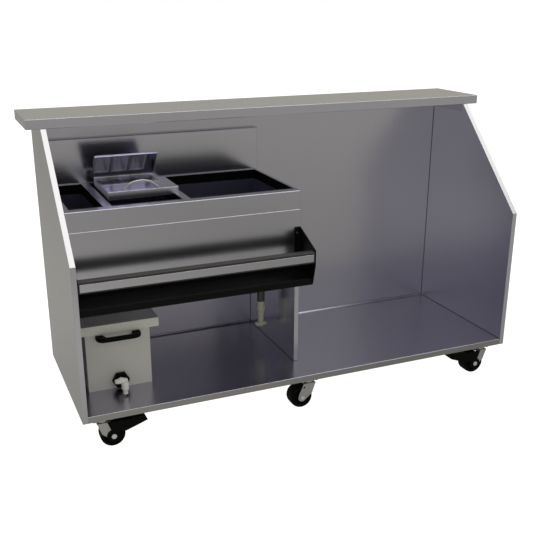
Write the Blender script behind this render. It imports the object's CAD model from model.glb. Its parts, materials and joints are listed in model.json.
"""Looks of the mobile bar unit: finishes, turned and swept detail pieces, studio light and camera."""
import json
import math

import bmesh
import bpy
import numpy as np
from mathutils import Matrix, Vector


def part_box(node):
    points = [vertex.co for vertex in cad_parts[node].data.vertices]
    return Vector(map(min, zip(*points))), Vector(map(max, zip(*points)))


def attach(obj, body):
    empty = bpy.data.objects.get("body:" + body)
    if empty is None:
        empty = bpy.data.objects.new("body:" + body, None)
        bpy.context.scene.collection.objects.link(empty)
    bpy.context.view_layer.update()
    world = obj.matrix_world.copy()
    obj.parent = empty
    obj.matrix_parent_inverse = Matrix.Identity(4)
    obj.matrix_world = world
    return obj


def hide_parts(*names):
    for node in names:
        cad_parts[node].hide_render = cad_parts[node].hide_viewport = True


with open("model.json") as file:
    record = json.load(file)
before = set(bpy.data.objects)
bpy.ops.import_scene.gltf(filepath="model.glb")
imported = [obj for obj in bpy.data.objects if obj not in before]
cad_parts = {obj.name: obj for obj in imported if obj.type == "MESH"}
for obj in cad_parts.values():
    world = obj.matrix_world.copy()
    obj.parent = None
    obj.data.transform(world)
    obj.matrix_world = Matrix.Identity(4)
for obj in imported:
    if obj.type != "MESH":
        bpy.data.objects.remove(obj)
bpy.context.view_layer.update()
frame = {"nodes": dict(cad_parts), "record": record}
nodes = frame["nodes"]
record = frame["record"]
scene = bpy.context.scene

# Units, and the turning joints with their places in millimetres

MM = 0.001
FULL_TURN = 2.0 * math.pi
HINGES = {joint["name"]: joint for joint in record["behaviour"]["joints"] if joint["type"] == "hinge"}
JOINT_PLACE = {name: np.array(joint["pos_m"]) / MM for name, joint in HINGES.items()}

# Shader nodes and the groups that several finishes share

NOISE_LOW, NOISE_HIGH = 0.3, 0.7
FINE_SHARE, COARSE_SHARE = 0.6, 0.4
SPECKS_PER_METRE = 420.0
BREAKS_PER_METRE = 60.0


def shader_group(name, inputs, outputs):
    """Empty node group with the named sockets, and its inner start and end nodes."""
    tree = bpy.data.node_groups.new(name, "ShaderNodeTree")
    for label, kind in inputs:
        tree.interface.new_socket(label, in_out="INPUT", socket_type=kind)
    for label, kind in outputs:
        tree.interface.new_socket(label, in_out="OUTPUT", socket_type=kind)
    return tree, tree.nodes.new("NodeGroupInput"), tree.nodes.new("NodeGroupOutput")


def add(tree, kind, settings=None, **values):
    """Node of a kind with its settings and the values of its named input sockets."""
    node = tree.nodes.new("ShaderNode" + kind)
    for key, value in (settings or {}).items():
        setattr(node, key, value)
    for label, value in values.items():
        node.inputs[label.replace("_", " ")].default_value = value
    return node


def maths(tree, operation, first, second=0.0):
    """Output of a Math node on two values, each a socket or a number."""
    node = add(tree, "Math", {"operation": operation})
    for socket, value in zip(node.inputs, (first, second)):
        if isinstance(value, (int, float)):
            socket.default_value = value
        else:
            tree.links.new(value, socket)
    return node.outputs[0]


def spread(tree, value, low, high, source_low=0.0, source_high=1.0):
    """Output of a Map Range node that carries a value from its source span to another span."""
    node = add(tree, "MapRange", From_Min=source_low, From_Max=source_high, To_Min=low, To_Max=high)
    tree.links.new(value, node.inputs["Value"])
    return node.outputs[0]


def blend_colours(tree, factor, low, high):
    """Colour between two colours, each a socket or three numbers, by a factor socket."""
    node = add(tree, "Mix", {"data_type": "RGBA"})
    tree.links.new(factor, node.inputs["Factor"])
    for socket, colour in ((node.inputs[6], low), (node.inputs[7], high)):
        if isinstance(colour, tuple):
            socket.default_value = (*colour, 1.0)
        else:
            tree.links.new(colour, socket)
    return node.outputs[2]


def make_grain():
    """Brushed grain: fine and coarse noise on the place stretched along the grain.

    The streak value is the sum of both by their shares and lies near a half."""
    tree, start, end = shader_group(
        "brushed_grain",
        [("Place", "NodeSocketVector"), ("Stretch", "NodeSocketVector")],
        [("Streak", "NodeSocketFloat")],
    )
    stretched = add(tree, "VectorMath", {"operation": "MULTIPLY"})
    tree.links.new(start.outputs["Place"], stretched.inputs[0])
    tree.links.new(start.outputs["Stretch"], stretched.inputs[1])
    fine = add(tree, "TexNoise", Scale=1.0, Detail=3.0, Roughness=0.7)
    coarse = add(tree, "TexNoise", Scale=0.17, Detail=2.0, Roughness=0.5)
    for noise in (fine, coarse):
        tree.links.new(stretched.outputs[0], noise.inputs["Vector"])
    fine_part = maths(tree, "MULTIPLY", fine.outputs[0], FINE_SHARE)
    coarse_part = maths(tree, "MULTIPLY", coarse.outputs[0], COARSE_SHARE)
    tree.links.new(maths(tree, "ADD", fine_part, coarse_part), end.inputs["Streak"])
    return tree


def make_marks():
    """Handling marks: broad cloudy noise from 0 on clean sheet to 1 on wiped patches, with fine specks."""
    tree, start, end = shader_group(
        "handling_marks",
        [("Place", "NodeSocketVector"), ("Size", "NodeSocketFloat")],
        [("Marks", "NodeSocketFloat"), ("Specks", "NodeSocketFloat")],
    )
    cloud = add(tree, "TexNoise", Detail=5.0, Roughness=0.6, Distortion=0.4)
    specks = add(tree, "TexNoise", Scale=SPECKS_PER_METRE, Detail=2.0, Roughness=0.6)
    tree.links.new(start.outputs["Place"], cloud.inputs["Vector"])
    tree.links.new(start.outputs["Place"], specks.inputs["Vector"])
    tree.links.new(start.outputs["Size"], cloud.inputs["Scale"])
    tree.links.new(spread(tree, cloud.outputs[0], 0.0, 1.0, NOISE_LOW, NOISE_HIGH), end.inputs["Marks"])
    tree.links.new(specks.outputs[0], end.inputs["Specks"])
    return tree


def make_edges():
    """Rounded edges: a normal eased over the given width.

    The mask rises to 1 where the eased normal leaves the flat one, and noise breaks it up."""
    tree, start, end = shader_group(
        "rounded_edges",
        [("Place", "NodeSocketVector"), ("Width", "NodeSocketFloat")],
        [("Normal", "NodeSocketVector"), ("Edge", "NodeSocketFloat")],
    )
    rounded = add(tree, "Bevel", {"samples": 4})
    flat = add(tree, "NewGeometry")
    turn = add(tree, "VectorMath", {"operation": "DOT_PRODUCT"})
    broken = add(tree, "TexNoise", Scale=BREAKS_PER_METRE, Detail=3.0)
    tree.links.new(start.outputs["Width"], rounded.inputs["Radius"])
    tree.links.new(rounded.outputs[0], turn.inputs[0])
    tree.links.new(flat.outputs["Normal"], turn.inputs[1])
    tree.links.new(start.outputs["Place"], broken.inputs["Vector"])
    mask = spread(tree, turn.outputs["Value"], 1.0, 0.0, source_low=0.75, source_high=0.98)
    patchy = spread(tree, broken.outputs[0], 0.4, 1.0, source_low=0.35, source_high=0.6)
    tree.links.new(rounded.outputs[0], end.inputs["Normal"])
    tree.links.new(maths(tree, "MULTIPLY", mask, patchy), end.inputs["Edge"])
    return tree


grain_group = make_grain()
marks_group = make_marks()
edges_group = make_edges()


def use_group(tree, group, place, **values):
    """Group node placed in a material, read at the place, with the values of its other inputs."""
    node = tree.nodes.new("ShaderNodeGroup")
    node.node_tree = group
    tree.links.new(place, node.inputs["Place"])
    for label, value in values.items():
        node.inputs[label].default_value = value
    return node


def new_finish(name, metallic):
    """Material with a Principled shader; returns it, its tree, the shader and the Object place."""
    material = bpy.data.materials.new(name)
    material.use_nodes = True
    tree = material.node_tree
    shader = tree.nodes["Principled BSDF"]
    shader.inputs["Metallic"].default_value = metallic
    place = add(tree, "TexCoord").outputs["Object"]
    return material, tree, shader, place


def bump(tree, shader, height, normal, strength, distance):
    """Feeds a height, on top of a normal, into the shader's normal."""
    node = add(tree, "Bump", Strength=strength, Distance=distance)
    tree.links.new(height, node.inputs["Height"])
    tree.links.new(normal, node.inputs["Normal"])
    tree.links.new(node.outputs[0], shader.inputs["Normal"])


def joint_lines(tree, place, lines):
    """Mask that is 1 on joint lines: on each line it is the product of a rise and a fall for every span.

    A line is a list of spans. A span is an axis with a start, a stop and the ease inside both."""
    axes = add(tree, "SeparateXYZ")
    tree.links.new(place, axes.inputs[0])
    total = 0.0
    for spans in lines:
        mask = 1.0
        for axis, start, stop, ease in spans:
            rise = spread(tree, axes.outputs[axis], 0.0, 1.0, start, start + ease)
            fall = spread(tree, axes.outputs[axis], 1.0, 0.0, stop - ease, stop)
            mask = maths(tree, "MULTIPLY", mask, maths(tree, "MULTIPLY", rise, fall))
        total = maths(tree, "MAXIMUM", total, mask)
    return total


# Two families of finish: brushed steel and coated or moulded surfaces

GROOVE = (0.02, 0.02, 0.03)
CUT_STEEL = (0.40, 0.388, 0.405)
STEEL_MARKS, STEEL_SWING, STEEL_DULLING, STEEL_RELIEF = 3.0, 0.02, 0.02, 0.0002
COATED_MARKS, COATED_SWING, COATED_RELIEF = 7.0, 0.04, 0.0003
COATED_EDGE, RUBBED_SHARE = 0.0015, 0.5


def brushed_steel(name, tint, roughness, stretch, relief=0.006, contrast=0.012, edge=0.0012,
                  lines=(), shade=0.75, cut=(), cut_tint=CUT_STEEL):
    """Satin stainless: streaks along the grain vary colour, gloss and relief; wiped patches are duller.

    Joint lines, where a sheet meets its neighbour, are darkened by the shade. A cut edge, marked out like
    a joint line, takes its own tint."""
    material, tree, shader, place = new_finish(name, 1.0)
    grain = use_group(tree, grain_group, place, Stretch=stretch)
    marks = use_group(tree, marks_group, place, Size=STEEL_MARKS)
    edges = use_group(tree, edges_group, place, Width=edge)
    low = tuple(c * (1.0 - contrast) for c in tint)
    high = tuple(c * (1.0 + contrast) for c in tint)
    streaks = spread(tree, grain.outputs[0], 0.0, 1.0, NOISE_LOW, NOISE_HIGH)
    colour = blend_colours(tree, streaks, low, high)
    if lines:
        dark = maths(tree, "MULTIPLY", joint_lines(tree, place, lines), shade)
        colour = blend_colours(tree, dark, colour, GROOVE)
    if cut:
        colour = blend_colours(tree, joint_lines(tree, place, [cut]), colour, cut_tint)
    tree.links.new(colour, shader.inputs["Base Color"])
    smooth, rough = roughness - STEEL_SWING, roughness + STEEL_SWING
    streak_gloss = spread(tree, grain.outputs[0], smooth, rough, NOISE_LOW, NOISE_HIGH)
    dulling = maths(tree, "MULTIPLY", marks.outputs["Marks"], STEEL_DULLING)
    tree.links.new(maths(tree, "ADD", streak_gloss, dulling), shader.inputs["Roughness"])
    bump(tree, shader, grain.outputs[0], edges.outputs["Normal"], relief, STEEL_RELIEF)
    return material


def coated(name, low, high, roughness, relief, wear=None, specular=0.5):
    """Enamel or moulded plastic: specks in the relief, cloudy gloss, edges rubbed towards a wear colour."""
    material, tree, shader, place = new_finish(name, 0.0)
    marks = use_group(tree, marks_group, place, Size=COATED_MARKS)
    edges = use_group(tree, edges_group, place, Width=COATED_EDGE)
    colour = blend_colours(tree, marks.outputs["Marks"], low, high)
    if wear is not None:
        rubbed = maths(tree, "MULTIPLY", edges.outputs["Edge"], RUBBED_SHARE)
        colour = blend_colours(tree, rubbed, colour, wear)
    tree.links.new(colour, shader.inputs["Base Color"])
    cloudy = spread(tree, marks.outputs["Marks"], roughness - COATED_SWING, roughness + COATED_SWING)
    tree.links.new(cloudy, shader.inputs["Roughness"])
    shader.inputs["Specular IOR Level"].default_value = specular
    bump(tree, shader, marks.outputs["Specks"], edges.outputs["Normal"], relief, COATED_RELIEF)
    return material


# Spans of the joint lines and cut edges, in metres

INNER_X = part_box("right_end_panel")[0][0]
WALL_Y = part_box("back_panel")[0][1]
DIVIDER_X, DIVIDER_Y, DECK_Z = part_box("divider_panel")[0]
PAN_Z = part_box("bin_bottom_pan")[0][2]
THIN = 0.0021
CRISP = 0.0002
CLEAR = 1.0
FRONT_EDGE_HEIGHT = 0.5545
COVE_HEIGHT = 0.01
COVE_SHADE = ("X", 0.2, 1.2, 0.4)
DECK_FOLD = 0.002


def near(axis, level):
    """Thin span to both sides of a level on an axis."""
    return axis, level - THIN, level + THIN, CRISP


def sloped_edge(panel):
    """Spans of a panel's edge faces above the foot of its slope, inside its thickness."""
    low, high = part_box(panel)
    return [
        ("X", low[0] + CRISP, high[0] - CRISP, CRISP),
        ("Y", low[1] - CLEAR, WALL_Y, CRISP),
        ("Z", low[2] + FRONT_EDGE_HEIGHT, high[2] + CLEAR, CRISP),
    ]


INSIDE_RIGHT = near("X", INNER_X)
AT_DIVIDER = near("X", DIVIDER_X)
AT_WALL = near("Y", WALL_Y)
AT_DECK = near("Z", DECK_Z)

# Spans on the condiment lid: start, stop and ease in millimetres

LID_OPEN = HINGES["condiment_lid_hinge"]["range_deg"][1]
hinge = JOINT_PLACE["condiment_lid_hinge"]
lid_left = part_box("condiment_lid")[0][0] / MM
LID_LIP = (86.0, 120.0, 2.0)
LID_FOOT = (-10.0, 24.0, 5.0)
LID_FRAMES = ((-20.0, 6.0, 4.0), (57.0, 71.0, 4.0), (123.0, 137.0, 4.0), (189.0, 250.0, 4.0))


def on_lid(axis, start, stop, ease):
    """Span on the open lid, counted from its left edge along X or from its hinge along Z."""
    origin = {"X": lid_left, "Z": hinge[2]}[axis]
    return axis, (origin + start) * MM, (origin + stop) * MM, ease * MM


# Finishes

ALONG_X = (2.0, 700.0, 700.0)
ALONG_Y = (700.0, 2.0, 700.0)
EVEN = (90.0, 90.0, 90.0)
STEEL = (0.530, 0.522, 0.604)
BRIGHT_STEEL = (0.625, 0.616, 0.715)
SATIN = 0.24

satin_sheet = brushed_steel("satin_sheet", STEEL, 0.19, ALONG_X, edge=0.0024)
satin_panel = brushed_steel(
    "satin_panel", STEEL, SATIN, ALONG_Y, cut=sloped_edge("left_end_panel"), cut_tint=(0.462, 0.456, 0.468))
right_panel = brushed_steel(
    "right_panel", BRIGHT_STEEL, SATIN, ALONG_Y, lines=[[INSIDE_RIGHT, AT_WALL], [INSIDE_RIGHT, AT_DECK]],
    cut=sloped_edge("right_end_panel"), cut_tint=(0.44, 0.434, 0.446))
divider_sheet = brushed_steel("divider_sheet", BRIGHT_STEEL, SATIN, ALONG_Y, lines=[[AT_WALL], [AT_DECK]])
back_sheet = brushed_steel("back_sheet", STEEL, SATIN, ALONG_X, lines=[
    [INSIDE_RIGHT, AT_WALL],
    [AT_DIVIDER, AT_WALL, ("Z", DECK_Z, PAN_Z, CRISP)],
])
deck_sheet = brushed_steel("deck_sheet", STEEL, SATIN, ALONG_X, lines=[
    [INSIDE_RIGHT],
    [AT_DIVIDER, ("Y", DIVIDER_Y, WALL_Y, CRISP)],
    [("Z", DECK_Z, DECK_Z + COVE_HEIGHT, CRISP), COVE_SHADE],
], cut=[("Z", 0.0, DECK_Z - DECK_FOLD, CRISP)])
tray_steel = brushed_steel("tray_steel", (0.65, 0.645, 0.78), 0.21, ALONG_X, edge=0.0025)
cup_steel = brushed_steel("cup_steel", (0.41, 0.405, 0.50), 0.15, ALONG_X)
lid_steel = brushed_steel(
    "lid_steel", (0.53, 0.525, 0.57), 0.12, ALONG_X, edge=0.002,
    cut=[on_lid("Z", *LID_LIP)], cut_tint=(0.95, 0.95, 1.0))
panel_steel = brushed_steel(
    "panel_steel", (0.64, 0.635, 0.70), 0.14, ALONG_X, shade=0.55,
    lines=[[on_lid("X", *span)] for span in LID_FRAMES] + [[on_lid("Z", *LID_FOOT)]])
rod_steel = brushed_steel("rod_steel", (0.46, 0.457, 0.44), 0.25, EVEN)
well_steel = brushed_steel("well_steel", (0.40, 0.40, 0.52), 0.28, ALONG_X)
zinc_plate = brushed_steel("zinc_plate", (0.55, 0.54, 0.57), 0.33, EVEN, 0.02, 0.03)
zinc_nut = brushed_steel("zinc_nut", (0.86, 0.86, 0.92), 0.28, EVEN, 0.02, 0.03, 0.0006)
dull_screw = brushed_steel("dull_screw", (0.07, 0.07, 0.075), 0.35, EVEN, 0.02, 0.03, 0.0006)
rail_enamel = coated(
    "rail_enamel", (0.0035, 0.0035, 0.0040), (0.0050, 0.0050, 0.0055), 0.35, 0.04,
    wear=(0.010, 0.010, 0.010), specular=0.10)
bar_enamel = coated(
    "bar_enamel", (0.030, 0.030, 0.028), (0.036, 0.036, 0.034), 0.35, 0.04,
    wear=(0.05, 0.05, 0.048), specular=0.35)
moulded_black = coated(
    "moulded_black", (0.0020, 0.0020, 0.0020), (0.0032, 0.0032, 0.0032), 0.42, 0.08,
    wear=(0.006, 0.006, 0.006), specular=0.08)
tank_shell = coated(
    "tank_shell", (0.74, 0.735, 0.72), (0.77, 0.765, 0.75), 0.45, 0.03, wear=(0.82, 0.81, 0.78))
lid_shell = coated(
    "lid_shell", (0.87, 0.865, 0.85), (0.89, 0.885, 0.87), 0.22, 0.03, wear=(0.90, 0.895, 0.88))
white_moulding = coated("white_moulding", (0.80, 0.80, 0.79), (0.85, 0.85, 0.84), 0.35, 0.03)
valve_moulding = coated("valve_moulding", (0.66, 0.65, 0.56), (0.71, 0.70, 0.61), 0.38, 0.03)
grey_pipe = coated("grey_pipe", (0.07, 0.07, 0.065), (0.09, 0.09, 0.085), 0.4, 0.05)
tyre_rubber = coated(
    "tyre_rubber", (0.0024, 0.0024, 0.0024), (0.0040, 0.0040, 0.0040), 0.6, 0.2, specular=0.1)
foam_core = coated("foam_core", (0.62, 0.55, 0.32), (0.72, 0.65, 0.42), 0.9, 0.5)

FINISH_OF_SLOT = {
    "satin_stainless": satin_sheet,
    "zinc_steel": zinc_plate,
    "black_plastic": moulded_black,
    "black_enamel": rail_enamel,
    "foam": foam_core,
    "grey_pipe": grey_pipe,
    "white_plastic": white_moulding,
    "grey_plastic": tank_shell,
    "black_rubber": tyre_rubber,
}
FINISH_OF_NODE = {
    "left_end_panel": satin_panel,
    "right_end_panel": right_panel,
    "divider_panel": divider_sheet,
    "back_panel": back_sheet,
    "base_deck": deck_sheet,
    "condiment_tray": tray_steel,
    "condiment_lid": lid_steel,
    "condiment_handle": rod_steel,
    "left_well_liner": well_steel,
    "middle_well_liner": well_steel,
    "ice_well_liner": well_steel,
    "rail_front_bar": bar_enamel,
    "tank_lid": lid_shell,
}
for subpart in record["subparts"]:
    solid = nodes[subpart["node"]]
    finish = FINISH_OF_NODE.get(subpart["node"], FINISH_OF_SLOT[subpart["material_slot"]])
    for material_slot in solid.material_slots:
        material_slot.material = finish

# Surfaces worked out on grids, in millimetres

LONGEST_EASE = 0.45


def place_surface(name, points, body, finish, replaced=(), closed_rows=False, crease=35.0):
    """Mesh on a grid of points, rows by columns, joined round its columns; open ends get a face each."""
    rows, columns = points.shape[:2]
    index = np.arange(rows * columns).reshape(rows, columns)
    round_index = np.hstack([index, index[:, :1]])
    if closed_rows:
        round_index = np.vstack([round_index, round_index[:1]])
    corners = [round_index[:-1, :-1], round_index[1:, :-1], round_index[1:, 1:], round_index[:-1, 1:]]
    faces = np.stack(corners, axis=-1).reshape(-1, 4).tolist()
    if not closed_rows:
        faces += [index[0].tolist(), index[-1].tolist()]
    mesh = bpy.data.meshes.new(name)
    mesh.from_pydata((points.reshape(-1, 3) * MM).tolist(), [], faces)
    shape = bmesh.new()
    shape.from_mesh(mesh)
    bmesh.ops.recalc_face_normals(shape, faces=shape.faces)
    shape.to_mesh(mesh)
    shape.free()
    mesh.polygons.foreach_set("use_smooth", np.ones(len(mesh.polygons), dtype=bool))
    mesh.set_sharp_from_angle(angle=math.radians(crease))
    mesh.materials.append(finish)
    piece = bpy.data.objects.new(name, mesh)
    scene.collection.objects.link(piece)
    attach(piece, body)
    if replaced:
        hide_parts(*replaced)


def corners_of(node):
    """Lowest and highest corner of a solid's box, in millimetres."""
    return tuple(np.array(corner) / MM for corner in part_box(node))


def signed_power(value, power):
    """Power of the size of a value, with the value's own sign."""
    return np.sign(value) * np.abs(value) ** power


def softened(corners, reach, steps=6, closed=False):
    """Line through corners, each corner eased by a parabola that starts and ends a reach away from it.

    The reach is at most a set share of the side it lies on."""
    corners = np.asarray(corners, dtype=float)
    if closed:
        corners = np.vstack([corners[-1:], corners, corners[:1]])
    before, middle, after = corners[:-2], corners[1:-1], corners[2:]
    t = np.linspace(0.0, 1.0, steps)[None, :, None]

    def towards(end):
        """Point on the way from the corner to one of its neighbours."""
        gap = np.linalg.norm(end - middle, axis=1, keepdims=True)
        return middle + (end - middle) * np.minimum(LONGEST_EASE, reach / gap)

    start, stop, knee = towards(before)[:, None], towards(after)[:, None], middle[:, None]
    eased = ((1.0 - t) ** 2 * start + 2.0 * t * (1.0 - t) * knee + t**2 * stop).reshape(-1, 2)
    return eased if closed else np.vstack([corners[:1], eased, corners[-1:]])


def turned(section, centre, axis, steps=72, outline=None):
    """Solid of revolution: each radius and height of the section goes round the axis.

    An outline, a radius for every angle, may cap the section's radius."""
    radius, height = (column[:, None] for column in np.asarray(section, dtype=float).T)
    angle = np.linspace(0.0, FULL_TURN, steps, endpoint=False)[None, :]
    if outline is not None:
        radius = np.minimum(radius, outline(angle))
    across, up = radius * np.cos(angle), radius * np.sin(angle)
    level = height + 0.0 * angle
    order = {"X": (level, across, up), "Y": (across, level, up), "Z": (across, up, level)}[axis]
    return np.stack(order, axis=-1) + np.asarray(centre, dtype=float)


def hexagon(flats):
    """Radius of a hexagon by its angle, from the width across its flats; a corner lies at angle zero."""
    return lambda angle: flats / 2.0 / np.cos(np.mod(angle, math.pi / 3.0) - math.pi / 6.0)


def pillow(centre, half, plan_power, edge_power, rows=20, columns=96):
    """Rounded block: a superellipse in plan whose size follows a second superellipse over its height."""
    turn = np.linspace(0.0, FULL_TURN, columns, endpoint=False)[None, :]
    tilt = (np.linspace(-0.5, 0.5, rows + 2)[1:-1] * math.pi)[:, None]
    size = np.cos(tilt) ** (2.0 / edge_power)
    across = half[0] * size * signed_power(np.cos(turn), 2.0 / plan_power)
    along = half[1] * size * signed_power(np.sin(turn), 2.0 / plan_power)
    up = half[2] * signed_power(np.sin(tilt), 2.0 / edge_power) + 0.0 * turn
    return np.stack([across, along, up], axis=-1) + np.asarray(centre, dtype=float)


# Casters: tyres, hubs, races and axle ends

CORNERS = ["front_left", "front_middle", "front_right", "rear_left", "rear_middle", "rear_right"]
BRAKED = ["front_left", "front_right"]
WHEEL_RADIUS, TYRE_GAP = 44.5, 0.05
TYRE_INNER, TYRE_WIDTH = 30.0, 50.8
MOULD_LINE_DEPTH, MOULD_LINE_WIDTH, MOULD_LINE_PLACE = 0.35, 0.9, 0.3
HUB_BORE, HUB_OUTER, HUB_WIDTH = 6.2, 32.0, 50.0
CHEEK_OUTER, NUT_SEAT, RIVET_SEAT = 30.5, 2.45, 0.02
AXLE_NUT_FLATS = 17.5


def tyre_section(outer, inner, width):
    """Closed section of a tyre: a superellipse between two radii, with two mould lines round the tread."""
    t = np.linspace(0.0, FULL_TURN, 120, endpoint=False)
    radius = (outer + inner) / 2.0 + (outer - inner) / 2.0 * signed_power(np.cos(t), 0.55)
    side = width / 2.0 * signed_power(np.sin(t), 0.42)
    off_line = (np.abs(side) - MOULD_LINE_PLACE * width) / MOULD_LINE_WIDTH
    line = MOULD_LINE_DEPTH * np.exp(-(off_line**2)) * (np.cos(t) > 0.0)
    return np.stack([radius - line, side], axis=-1)


def hub_section(bore, outer, width):
    """Closed section of a hub: a boss round the bore, a web dished on both faces, a rim under the tyre."""
    half = [
        (bore, 0.49 * width),
        (bore + 5.5, 0.49 * width),
        (bore + 7.5, 0.37 * width),
        (outer - 6.0, 0.33 * width),
        (outer - 3.5, 0.44 * width),
        (outer, 0.44 * width),
    ]
    other = [(radius, -side) for radius, side in reversed(half)]
    return softened(half + other, 1.2, 5, closed=True)


NUT_SECTION = np.array([
    (11.2, 0.0), (11.2, 4.2), (9.6, 5.0), (6.2, 5.0), (5.9, 5.6), (5.9, 6.6), (4.2, 7.6), (1.5, 8.0),
])
RIVET_SECTION = softened([(8.4, 0.0), (8.4, 4.6), (6.4, 5.8), (1.2, 6.0)], 1.6)
RACE_SECTION = softened([
    (22.3, 100.5), (27.9, 100.5), (28.9, 101.8), (28.9, 107.6), (27.9, 108.8), (22.3, 108.8),
], 1.0, 5, closed=True)
TYRE_SECTION = tyre_section(WHEEL_RADIUS - TYRE_GAP, TYRE_INNER, TYRE_WIDTH)
HUB_SECTION = hub_section(HUB_BORE, HUB_OUTER, HUB_WIDTH)

for corner in CORNERS:
    wheel = JOINT_PLACE["roll_" + corner]
    swivel = JOINT_PLACE["swivel_" + corner] * (1.0, 1.0, 0.0)
    race = turned(RACE_SECTION, swivel, "Z")
    place_surface("swivel_race_" + corner, race, "cabinet", zinc_plate, closed_rows=True)
    rubber = turned(TYRE_SECTION, wheel, "Y", 120)
    place_surface("tyre_" + corner, rubber, "wheel_" + corner, tyre_rubber,
                  ["caster_wheel_" + corner], closed_rows=True)
    hub = turned(HUB_SECTION, wheel, "Y")
    place_surface("hub_" + corner, hub, "wheel_" + corner, moulded_black, closed_rows=True)
    for label, side in (("near", -1.0), ("far", 1.0)):
        if corner in BRAKED:
            seat, section, outline = CHEEK_OUTER + NUT_SEAT, NUT_SECTION, hexagon(AXLE_NUT_FLATS)
        else:
            seat, section, outline = CHEEK_OUTER + RIVET_SEAT, RIVET_SECTION, None
        section = np.stack([section[:, 0], side * (seat + section[:, 1])], axis=-1)
        axle_end = turned(section, wheel, "Y", outline=outline)
        place_surface(f"axle_end_{corner}_{label}", axle_end, "fork_" + corner, zinc_nut)

# Condiment tray: pressed sheets on its top and under its lid

PANEL_COUNT, PANEL_ROUND = 3, 12.0
SHEET_ROWS, SHEET_COLUMNS = 150, 90
COVER_SEAT, LID_SEAT = 0.02, 1.75
COVER = {
    "low": (5.0, -116.0),
    "high": (216.5, -8.0),
    "first": (41.0, -62.0),
    "pitch": 70.0,
    "size": (58.0, 100.0),
    "border": 1.53,
    "panel": 0.33,
    "slope": 14.0,
}
LID_PANELS = {
    "low": (2.0, -124.0),
    "high": (226.0, -7.0),
    "first": (31.0, -100.0),
    "pitch": 66.0,
    "size": (59.0, 140.0),
    "border": -1.85,
    "panel": -0.35,
    "slope": 8.0,
}


def pressed_sheet(left, seat, low, high, first, pitch, size, border, panel, slope):
    """Sheet with a row of pressed panels, flat on its seat: its thickness goes from the border's to the
    panels' by a smooth step of the distance inside each outline, a rectangle with round corners.

    Its two corners and the middle of its first panel are counted from the left edge and the hinge line.
    Each row runs along the shaped side and back along the flat one. A sheet that hangs below its seat has
    a negative thickness."""
    across = np.linspace(left + low[0], left + high[0], SHEET_ROWS)[:, None]
    along = np.linspace(hinge[1] + low[1], hinge[1] + high[1], SHEET_COLUMNS)[None, :]
    middle_across, middle_along = left + first[0], hinge[1] + first[1]
    nearest = np.clip(np.round((across - middle_across) / pitch), 0, PANEL_COUNT - 1)
    side = np.abs(across - middle_across - nearest * pitch) - (size[0] / 2.0 - PANEL_ROUND) + 0.0 * along
    end = np.abs(along - middle_along) - (size[1] / 2.0 - PANEL_ROUND) + 0.0 * across
    corner = np.hypot(np.maximum(side, 0.0), np.maximum(end, 0.0))
    inside = PANEL_ROUND - corner - np.minimum(np.maximum(side, end), 0.0)
    step = np.clip(inside / slope, 0.0, 1.0)
    thick = border + (panel - border) * step**2 * (3.0 - 2.0 * step)
    across, along = across + 0.0 * thick, along + 0.0 * thick
    shaped = np.stack([across, along, seat + thick], axis=-1)
    flat = np.stack([across, along, seat + 0.0 * thick], axis=-1)
    return np.concatenate([shaped, flat[:, ::-1]], axis=1)


def turned_up(points, pivot, degrees):
    """Points turned about a line along X through the pivot, front edge upwards."""
    sine, cosine = math.sin(math.radians(degrees)), math.cos(math.radians(degrees))
    along, up = points[..., 1] - pivot[1], points[..., 2] - pivot[2]
    new_along = pivot[1] + along * cosine + up * sine
    new_up = pivot[2] - along * sine + up * cosine
    return np.stack([points[..., 0], new_along, new_up], axis=-1)


tray_left = corners_of("condiment_tray")[0][0]
tray_top = corners_of("condiment_handle")[0][2]
cover = pressed_sheet(tray_left, tray_top + COVER_SEAT, **COVER)
place_surface("condiment_cover", cover, "condiment_tray", cup_steel)
lid_panels = turned_up(pressed_sheet(lid_left, hinge[2] + LID_SEAT, **LID_PANELS), hinge, LID_OPEN)
place_surface("condiment_lid_panels", lid_panels, "condiment_lid", panel_steel)

# Tank: grip, nut and tap

GRIP_FOOT, GRIP_SPLAY, GRIP_BAR, GRIP_BEND = 28.0, 7.0, 14.0, 27.0
GRIP_KNEE, GRIP_POWER = 9.0, 0.26
NUT_BORE, NUT_CORNER, NUT_FACE, NUT_CHAMFER = 10.9, 31.5, 28.0, 1.6
LEVER_HALF = (23.0, 9.0, 7.0)
LEVER_OFFSET, LEVER_GAP = -13.0, 0.4
CROWN_HEIGHT, CROWN_LENGTH, CROWN_DEPTH = 7.5, 9.0, 8.0


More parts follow.
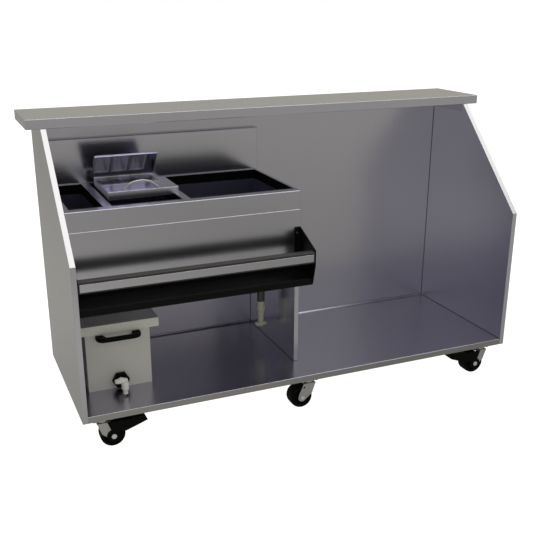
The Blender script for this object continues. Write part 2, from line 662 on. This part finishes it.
def bridge_grip(low, high, foot, splay, bar, bend):
    """Bridge handle: ribs of a rounded section span from its outer line to its inner line, foot to foot.

    The outer line runs from the wall round a bend, along the bar and back; the inner line is a trapezium
    whose sides lean in by the splay. Across a rib the section is a superellipse, as high as the handle."""
    span, reach, height = high - low
    quarter = np.linspace(0.0, math.pi / 2.0, 14)
    curve = np.stack([bend - bend * np.cos(quarter), bend - bend * np.sin(quarter)], axis=-1)
    foot_line = np.stack([np.zeros(6), np.linspace(reach, bend, 7)[:-1]], axis=-1)
    bar_line = np.stack([np.linspace(bend, span / 2.0, 12)[1:], np.zeros(11)], axis=-1)
    half = np.vstack([foot_line, curve, bar_line])
    outer = np.vstack([half, (half * (-1.0, 1.0) + (span, 0.0))[::-1][1:]])
    knee = [(foot, reach), (foot + splay, bar), (span / 2.0, bar)]
    path = softened(knee, GRIP_KNEE, 15)
    length = np.concatenate([[0.0], np.cumsum(np.linalg.norm(np.diff(path, axis=0), axis=1))])
    wanted = np.linspace(0.0, length[-1], len(half))
    inside = np.stack([np.interp(wanted, length, path[:, axis]) for axis in (0, 1)], axis=-1)
    inner = np.vstack([inside, (inside * (-1.0, 1.0) + (span, 0.0))[::-1][1:]])
    t = np.linspace(0.0, FULL_TURN, 32, endpoint=False)
    share = (0.5 + 0.5 * signed_power(np.cos(t), GRIP_POWER))[None, :, None]
    plan = outer[:, None] * share + inner[:, None] * (1.0 - share)
    level = height / 2.0 + height / 2.0 * signed_power(np.sin(t), GRIP_POWER)
    up = np.broadcast_to(level, plan.shape[:2])
    return np.concatenate([plan, up[..., None]], axis=-1) + low


def tap_lever(pivot):
    """Lever of the tap: a rounded block, longer to the left of its pivot, with a domed crown."""
    middle = pivot + (LEVER_OFFSET, 0.0, LEVER_HALF[2] + LEVER_GAP)
    block = pillow(middle, LEVER_HALF, 4.0, 5.0, 30)
    place = block - middle
    aside, away = place[..., 0] / CROWN_LENGTH, place[..., 1] / CROWN_DEPTH
    crown = CROWN_HEIGHT * np.exp(-(aside**2) - away**2)
    block[..., 2] += np.where(place[..., 2] > 0.0, crown, 0.0)
    return block


grip = bridge_grip(*corners_of("tank_handle"), GRIP_FOOT, GRIP_SPLAY, GRIP_BAR, GRIP_BEND)
place_surface("tank_grip", grip, "tank", moulded_black, ["tank_handle"])

nut_low, nut_high = corners_of("spigot_nut")
nut_middle = (nut_low + nut_high) / 2.0 * (1.0, 0.0, 1.0)
nut_lines = [
    (NUT_BORE, nut_high[1]),
    (NUT_CORNER, nut_high[1]),
    (NUT_CORNER, nut_low[1] + NUT_CHAMFER),
    (NUT_FACE, nut_low[1]),
    (NUT_BORE, nut_low[1]),
]
lock_nut = turned(nut_lines, nut_middle, "Y", 96, hexagon(NUT_CORNER * math.sqrt(3.0)))
place_surface("spigot_lock_nut", lock_nut, "tank", moulded_black, ["spigot_nut"],
              crease=20.0)

tap = JOINT_PLACE["spigot_turn"]
COLUMN_LINES = [
    (6.3, -38.0), (6.3, -44.4), (8.8, -44.4), (8.8, -28.5),
    (12.8, -26.0), (12.8, -3.0), (11.6, 0.0), (2.0, 0.0),
]
tap_column = turned(softened(COLUMN_LINES, 1.2), tap, "Z")
place_surface("tap_column", tap_column, "tank", white_moulding, ["spigot_body"])
barrel_reach = nut_low[1] - tap[1]
barrel_lines = [
    (2.0, -9.0),
    (8.9, -9.0),
    (8.9, barrel_reach - 6.0),
    (12.0, barrel_reach - 5.0),
    (12.0, barrel_reach + 1.0),
    (10.5, barrel_reach + 6.0),
]
tap_barrel = turned(softened(barrel_lines, 0.8), (tap[0], tap[1], nut_middle[2]), "Y")
place_surface("tap_barrel", tap_barrel, "tank", white_moulding)
lever = tap_lever(tap)
place_surface("tap_lever", lever, "spigot_handle", white_moulding, ["spigot_handle"])

# Drain valve

VALVE_LINES = [
    (4.6, -100.0), (4.6, -107.4), (9.0, -107.4), (9.0, -104.2), (6.5, -103.9), (6.5, -89.0), (12.0, -88.4),
    (12.0, -52.0), (17.2, -37.0), (17.2, -17.0), (15.5, -14.0), (15.5, 0.0), (14.0, 0.0),
]
valve_low, valve_high = corners_of("drain_valve_body")
valve_middle = np.array([*(valve_low + valve_high)[:2] / 2.0, valve_high[2]])
valve_column = turned(softened(VALVE_LINES, 1.3), valve_middle, "Z")
place_surface("valve_column", valve_column, "cabinet", valve_moulding, ["drain_valve_body"])
wing_low, wing_high = corners_of("drain_valve_handle")
wing = pillow((wing_low + wing_high) / 2.0, (wing_high - wing_low) / 2.0, 3.2, 5.0)
place_surface("valve_wing", wing, "drain_valve_handle", valve_moulding,
              ["drain_valve_handle"])

# Rail screws

SCREW_SECTION = np.array([
    (4.9, 0.0), (4.9, 0.7), (4.0, 1.9), (2.7, 2.45), (2.2, 2.45), (2.1, 1.0), (0.6, 0.9),
])
RAIL_SHEET, SCREW_RADIUS = 3.0, 5.0
screw_low, screw_high = corners_of("rail_screws")
screw_z = (screw_low[2] + screw_high[2]) / 2.0
left_place = (screw_low[0] + RAIL_SHEET, screw_low[1] + SCREW_RADIUS, screw_z)
right_place = (screw_high[0] - SCREW_RADIUS, screw_high[1] - RAIL_SHEET, screw_z)
left_screw = turned(SCREW_SECTION, left_place, "X")
right_screw = turned(SCREW_SECTION * (1.0, -1.0), right_place, "Y")
place_surface("rail_screw_left", left_screw, "cabinet", zinc_nut, ["rail_screws"])
place_surface("rail_screw_right", right_screw, "cabinet", dull_screw)

# Studio: a pale floor, a wide soft box overhead, soft air all round, lengths in metres

WHITE = (1.0, 1.0, 1.0)
FLOOR_REACH = 14.0
FLOOR_PAINT = (0.06, 0.06, 0.055)
FLOOR_TINT = (1.0, 0.985, 0.86)
FLOOR_SEEN = 0.8
DIM_PLACE, DIM_REACH, DIM_FLATTENING = (0.7, -2.6), 2.0, 0.45
DIM_GLOW, OPEN_GLOW = 0.28, 0.385
UNIT_Y, UNIT_NEAR, UNIT_FAR, UNIT_SHARE = -0.3, 0.1, 1.2, 0.78
PATCH_PLACE, PATCH_REACH, PATCH_GLOW = (-0.7, -1.3, 0.0), 1.3, 0.21
FRONT_FAR, FRONT_NEAR, FRONT_GLOW = -7.0, -4.5, 0.08
BACK_NEAR, BACK_FAR, BACK_GLOW = 1.8, 4.5, -0.045
AIR_SPAN = 0.8
AIR_FRONT, AIR_BACK = (0.40, 0.394, 0.346), (0.455, 0.444, 0.379)
BOX_PLACE, BOX_SIZE, BOX_RADIANCE = (0.6, -0.9, 3.1), (5.0, 2.4), 1.65
SENSOR_WIDTH, LENS = 36.0, 54.77
CAMERA_SHIFT = (0.0045, 0.03895)
CAMERA_PLACE = (-1.2472, -2.7865, 1.4893)
CAMERA_YAW, CAMERA_PITCH = 22.967, 19.869


def floor_glow(tree, place):
    """Glow of the floor: it grows away from a dim place in front, and less of it is left close to the unit.

    A round patch on the left and the far front add to it, and the far back takes some away."""
    axes = add(tree, "SeparateXYZ")
    tree.links.new(place, axes.inputs[0])
    across, along = axes.outputs["X"], axes.outputs["Y"]
    aside = maths(tree, "SUBTRACT", across, DIM_PLACE[0])
    away = maths(tree, "MULTIPLY", maths(tree, "SUBTRACT", along, DIM_PLACE[1]), DIM_FLATTENING)
    squares = [maths(tree, "POWER", maths(tree, "ABSOLUTE", length), 2.0) for length in (aside, away)]
    distance = maths(tree, "SQRT", maths(tree, "ADD", *squares))
    open_glow = spread(tree, distance, DIM_GLOW, OPEN_GLOW, 0.0, DIM_REACH)
    from_unit = maths(tree, "ABSOLUTE", maths(tree, "SUBTRACT", along, UNIT_Y))
    left_over = spread(tree, from_unit, UNIT_SHARE, 1.0, UNIT_NEAR, UNIT_FAR)
    from_patch = add(tree, "VectorMath", {"operation": "DISTANCE"})
    from_patch.inputs[1].default_value = PATCH_PLACE
    tree.links.new(place, from_patch.inputs[0])
    patch = spread(tree, from_patch.outputs["Value"], PATCH_GLOW, 0.0, 0.0, PATCH_REACH)
    far_front = spread(tree, along, FRONT_GLOW, 0.0, FRONT_FAR, FRONT_NEAR)
    far_back = spread(tree, along, 0.0, BACK_GLOW, BACK_NEAR, BACK_FAR)
    further = maths(tree, "ADD", maths(tree, "ADD", far_front, far_back), patch)
    return maths(tree, "ADD", maths(tree, "MULTIPLY", open_glow, left_over), further)


def studio_floor():
    """Flat pale floor, a grid whose height is zero everywhere, matt with a glow that the steel mirrors.

    Where the camera looks straight at it, it glows by a set amount more and has no tint."""
    reach = np.linspace(-FLOOR_REACH, FLOOR_REACH, 9)
    across, along = np.meshgrid(reach, reach, indexing="ij")
    points = np.stack([across, along, np.zeros_like(across)], axis=-1)
    index = np.arange(points.shape[0] * points.shape[1]).reshape(points.shape[:2])
    corners = [index[:-1, :-1], index[1:, :-1], index[1:, 1:], index[:-1, 1:]]
    quads = np.stack(corners, axis=-1).reshape(-1, 4)
    mesh = bpy.data.meshes.new("studio_floor")
    mesh.from_pydata(points.reshape(-1, 3).tolist(), [], quads.tolist())
    floor = bpy.data.objects.new("studio_floor", mesh)
    scene.collection.objects.link(floor)
    material = bpy.data.materials.new("pale_floor")
    material.use_nodes = True
    tree = material.node_tree
    tree.nodes.remove(tree.nodes["Principled BSDF"])
    matt = add(tree, "BsdfDiffuse", Color=(*FLOOR_PAINT, 1.0))
    soft_glow = floor_glow(tree, add(tree, "TexCoord").outputs["Object"])
    seen = add(tree, "LightPath").outputs["Is Camera Ray"]
    strength = maths(tree, "ADD", soft_glow, maths(tree, "MULTIPLY", seen, FLOOR_SEEN))
    glow = add(tree, "Emission")
    tree.links.new(blend_colours(tree, seen, FLOOR_TINT, WHITE), glow.inputs["Color"])
    tree.links.new(strength, glow.inputs["Strength"])
    both = add(tree, "AddShader")
    tree.links.new(matt.outputs[0], both.inputs[0])
    tree.links.new(glow.outputs[0], both.inputs[1])
    tree.links.new(both.outputs[0], tree.nodes["Material Output"].inputs["Surface"])
    mesh.materials.append(material)


def studio_air():
    """Soft air: dimmer in front of the unit, bright behind it, white where the camera looks at it."""
    world = bpy.data.worlds.new("studio_air")
    world.use_nodes = True
    tree = world.node_tree
    axes = add(tree, "SeparateXYZ")
    tree.links.new(add(tree, "TexCoord").outputs["Generated"], axes.inputs[0])
    depth = spread(tree, axes.outputs["Y"], 0.0, 1.0, -AIR_SPAN, AIR_SPAN)
    air = blend_colours(tree, depth, AIR_FRONT, AIR_BACK)
    seen = add(tree, "LightPath").outputs["Is Camera Ray"]
    tree.links.new(blend_colours(tree, seen, air, WHITE), tree.nodes["Background"].inputs["Color"])
    scene.world = world


def soft_box(name, place, size, radiance):
    """Rectangular area light that faces straight down: its power is pi times its radiance times its area."""
    data = bpy.data.lights.new(name, "AREA")
    data.shape = "RECTANGLE"
    data.size, data.size_y = size
    data.energy = radiance * math.pi * size[0] * size[1]
    lamp = bpy.data.objects.new(name, data)
    scene.collection.objects.link(lamp)
    lamp.location = place
    lamp.visible_camera = False


def photo_camera():
    """Camera at the photograph's place: turned right by its yaw, down by its pitch, a little shifted."""
    data = bpy.data.cameras.new("photo_camera")
    data.sensor_width = SENSOR_WIDTH
    data.lens = LENS
    data.shift_x, data.shift_y = CAMERA_SHIFT
    camera = bpy.data.objects.new("photo_camera", data)
    scene.collection.objects.link(camera)
    camera.location = CAMERA_PLACE
    camera.rotation_euler = (math.radians(90.0 - CAMERA_PITCH), 0.0, math.radians(-CAMERA_YAW))
    scene.camera = camera


studio_floor()
studio_air()
soft_box("overhead_box", BOX_PLACE, BOX_SIZE, BOX_RADIANCE)
photo_camera()
scene.view_settings.view_transform = "Standard"
